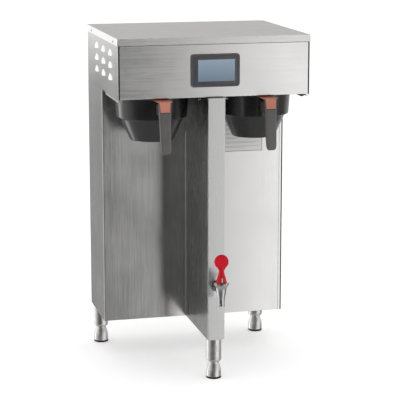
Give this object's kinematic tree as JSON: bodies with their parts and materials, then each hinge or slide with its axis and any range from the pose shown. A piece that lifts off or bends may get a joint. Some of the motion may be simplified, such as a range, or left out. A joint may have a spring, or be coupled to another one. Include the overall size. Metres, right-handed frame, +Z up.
{
  "type": "commercial coffee brewer",
  "caption": "Stainless twin coffee brewer: T-shaped stand, brewing hood with touch display, slide-in baskets over server bays, red-handled water faucet, levelling legs.",
  "frame": {"origin": "on the counter under the middle of the machine's outline", "axes": "+Z up; front of the machine (display, faucet and basket handles) towards -Y; +X to the right of a person facing it"},
  "size_m": [0.515, 0.554, 0.907],
  "materials": {
    "cover_steel": "brushed along the width",
    "panel_steel": "vertical brushing",
    "inner_steel": "mill finish",
    "bright_steel": "polished",
    "chrome": "polished chrome",
    "bezel_plastic": "satin charcoal",
    "screen_glass": "gloss black glass border",
    "screen_lcd": "unlit display",
    "basket_plastic": "glossy black moulding",
    "grip_plastic": "fine textured",
    "copper_plastic": "copper coloured moulding",
    "red_plastic": "glossy red",
    "black_housing": "satin black",
    "silicone": "translucent white silicone",
    "valve_plastic": "natural nylon",
    "circuit_board": "green solder mask",
    "heater_sheath": "dull alloy sheath",
    "brass": "machined",
    "heat_sink": "extruded"
  },
  "bodies": {
    "chassis": {"top_cover": "cover_steel", "hood_front_panel": "panel_steel", "hood_left_panel": "panel_steel", "hood_right_panel": "panel_steel", "hood_floor": "inner_steel", "basket_rails": "panel_steel", "trunk_left_panel": "panel_steel", "trunk_right_panel": "panel_steel", "trunk_front_left_panel": "panel_steel", "trunk_front_right_panel": "panel_steel", "column_shell": "panel_steel", "rear_panel": "panel_steel", "trunk_base_plate": "inner_steel", "column_base_plate": "inner_steel", "panel_screws": "bright_steel", "leg_tubes": "bright_steel", "display_bezel": "bezel_plastic", "touchscreen_glass": "screen_glass", "lcd_panel": "screen_lcd", "display_module": "black_housing", "control_board": "circuit_board", "water_tank": "inner_steel", "tank_gasket": "silicone", "tank_lid": "inner_steel", "heating_elements": "heater_sheath", "tank_probes": "bright_steel", "dump_valves": "valve_plastic", "spray_hoses": "silicone", "sprayheads": "black_housing", "inlet_valve": "black_housing", "inlet_fitting": "brass", "water_tubes": "silicone", "heater_relay": "black_housing", "relay_heat_sink": "heat_sink", "terminal_block": "valve_plastic", "switch_housing": "black_housing", "cable_gland": "black_housing", "faucet_shank": "chrome", "faucet_nut": "chrome", "faucet_body": "chrome", "faucet_bonnet": "chrome", "faucet_spring": "bright_steel"},
    "left_basket": {"left_basket": "basket_plastic", "left_basket_handle": "grip_plastic", "left_handle_insert": "copper_plastic", "left_filter_grid": "bright_steel"},
    "right_basket": {"right_basket": "basket_plastic", "right_basket_handle": "grip_plastic", "right_handle_insert": "copper_plastic", "right_filter_grid": "bright_steel"},
    "faucet_stem": {"faucet_stem": "chrome", "faucet_seat_cup": "silicone"},
    "faucet_handle": {"faucet_handle": "red_plastic", "faucet_pin": "chrome"},
    "switch_rocker": {"switch_rocker": "black_housing"},
    "front_foot": {"front_foot": "bright_steel"},
    "rear_left_foot": {"rear_left_foot": "bright_steel"},
    "rear_right_foot": {"rear_right_foot": "bright_steel"},
    "left_dump_plunger": {"left_dump_plunger": "bright_steel"},
    "right_dump_plunger": {"right_dump_plunger": "bright_steel"}
  },
  "joints": [
    {"name": "left_basket_slide", "type": "slide", "parent": "chassis", "child": "left_basket", "axis": [0, -1, 0], "range_m": [0, 0.24]},
    {"name": "right_basket_slide", "type": "slide", "parent": "chassis", "child": "right_basket", "axis": [0, -1, 0], "range_m": [0, 0.24]},
    {"name": "faucet_stem_lift", "type": "slide", "parent": "chassis", "child": "faucet_stem", "axis": [0, 0, 1], "range_m": [0, 0.003], "deforming": ["faucet_spring"]},
    {"name": "faucet_handle_tilt", "type": "hinge", "parent": "faucet_stem", "child": "faucet_handle", "pos_m": [0, -0.257, 0.287], "axis": [1, 0, 0], "range_deg": [0, 30], "stiffness_Nm_per_rad": 0.5, "springref_deg": -11.46},
    {"name": "power_switch_rock", "type": "hinge", "parent": "chassis", "child": "switch_rocker", "pos_m": [0.17, 0.248, 0.235], "axis": [1, 0, 0], "range_deg": [0, 20]},
    {"name": "front_foot_screw", "type": "slide", "parent": "chassis", "child": "front_foot", "axis": [0, 0, -1], "range_m": [0, 0.02]},
    {"name": "rear_left_foot_screw", "type": "slide", "parent": "chassis", "child": "rear_left_foot", "axis": [0, 0, -1], "range_m": [0, 0.02]},
    {"name": "rear_right_foot_screw", "type": "slide", "parent": "chassis", "child": "rear_right_foot", "axis": [0, 0, -1], "range_m": [0, 0.02]},
    {"name": "left_dump_plunger_lift", "type": "slide", "parent": "chassis", "child": "left_dump_plunger", "axis": [0, 0, 1], "range_m": [0, 0.003], "stiffness_N_per_m": 250, "springref_m": -0.004},
    {"name": "right_dump_plunger_lift", "type": "slide", "parent": "chassis", "child": "right_dump_plunger", "axis": [0, 0, 1], "range_m": [0, 0.003], "stiffness_N_per_m": 250, "springref_m": -0.004}
  ],
  "couplings": [
    {"joint": "faucet_stem_lift", "follows": "faucet_handle_tilt", "m_per_rad": 0.0057}
  ]
}
